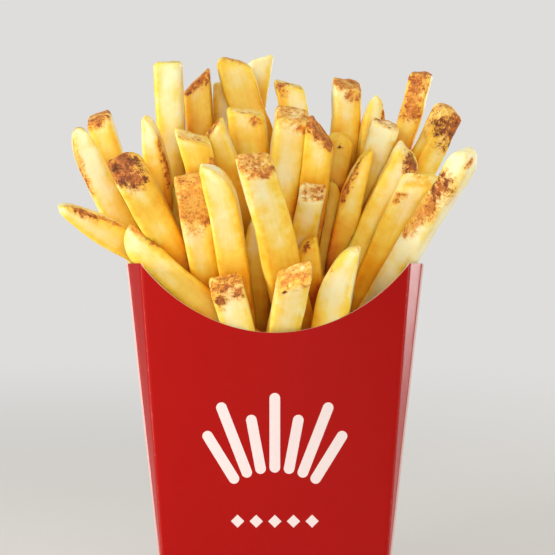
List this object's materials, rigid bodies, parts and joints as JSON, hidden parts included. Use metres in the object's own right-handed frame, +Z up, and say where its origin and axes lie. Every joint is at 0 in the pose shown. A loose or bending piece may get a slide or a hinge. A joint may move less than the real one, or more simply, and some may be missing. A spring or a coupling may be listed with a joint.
{
  "type": "french fries portion",
  "caption": "Portion of long straight-cut fries fanned out of a tapered folding carton with a scooped front edge and an arched back.",
  "frame": {"origin": "centre of the carton's flat base, on the surface it stands on", "axes": "+Z up, -Y towards the scooped front, +X to the right as seen from the front"},
  "size_m": [0.1262, 0.0746, 0.1691],
  "materials": {
    "board": "satin",
    "potato": "matte"
  },
  "bodies": {
    "root": {"carton": "board", "fries": "potato"}
  },
  "joints": []
}
